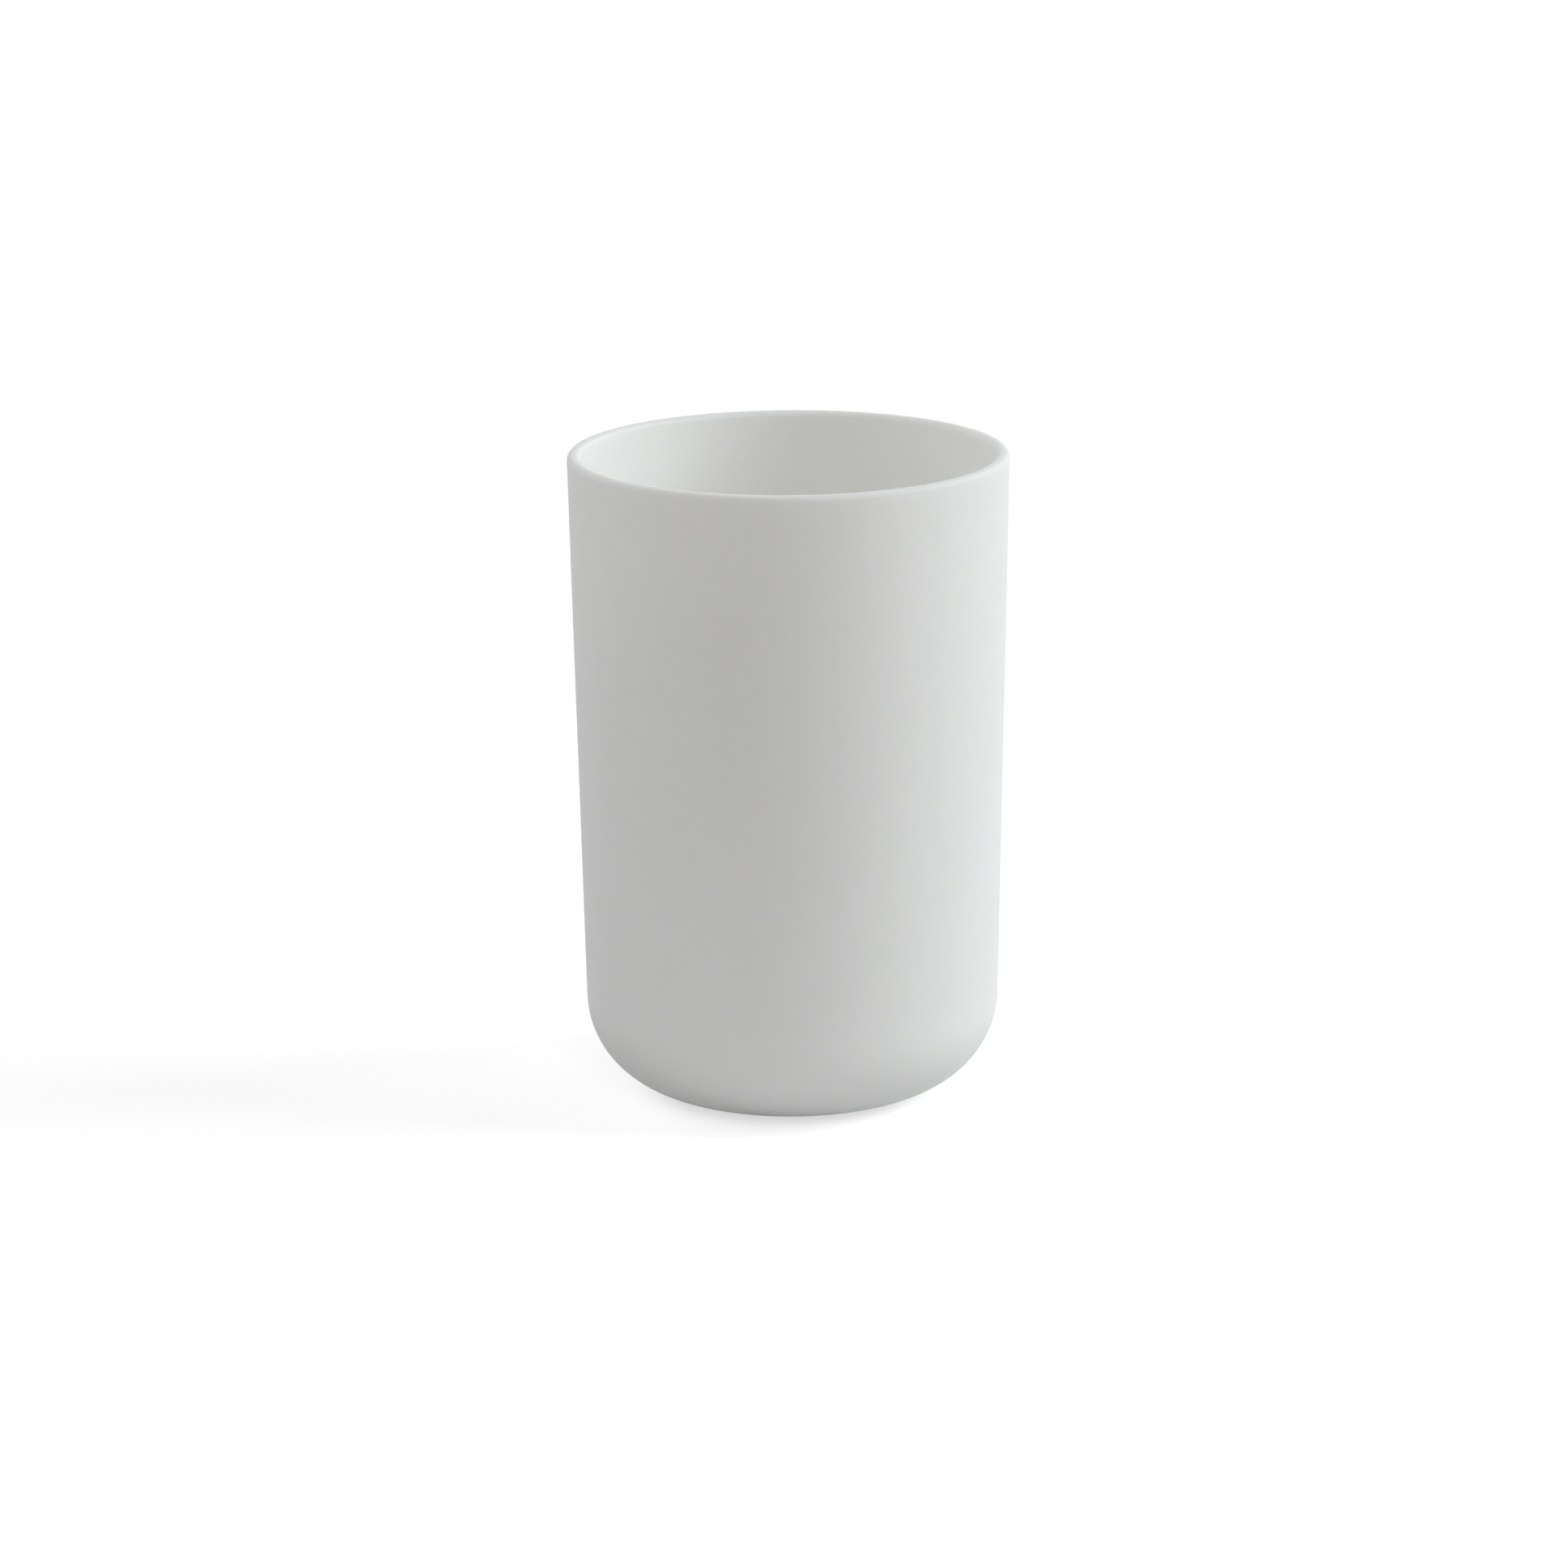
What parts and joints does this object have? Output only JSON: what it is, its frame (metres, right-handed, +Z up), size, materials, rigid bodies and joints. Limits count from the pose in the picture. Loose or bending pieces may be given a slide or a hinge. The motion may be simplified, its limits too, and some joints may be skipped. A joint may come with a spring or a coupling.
{
  "type": "bathroom tumbler",
  "caption": "Plain round tumbler with slightly leaning walls, a soft lip and a large round at the base, on a non-slip ring, for rinsing or for holding toothbrushes.",
  "frame": {"origin": "middle of the standing plane, under the axis of the cup", "axes": "+Z up along the axis of the cup, towards its mouth; X and Y are any two directions across it, because it is round"},
  "size_m": [0.0704, 0.0704, 0.105],
  "materials": {
    "cup_plastic": "satin white moulded plastic with a soft gloss",
    "ring_rubber": "matte pale grey silicone"
  },
  "bodies": {
    "root": {"tumbler_body": "cup_plastic", "non_slip_ring": "ring_rubber"}
  },
  "joints": []
}
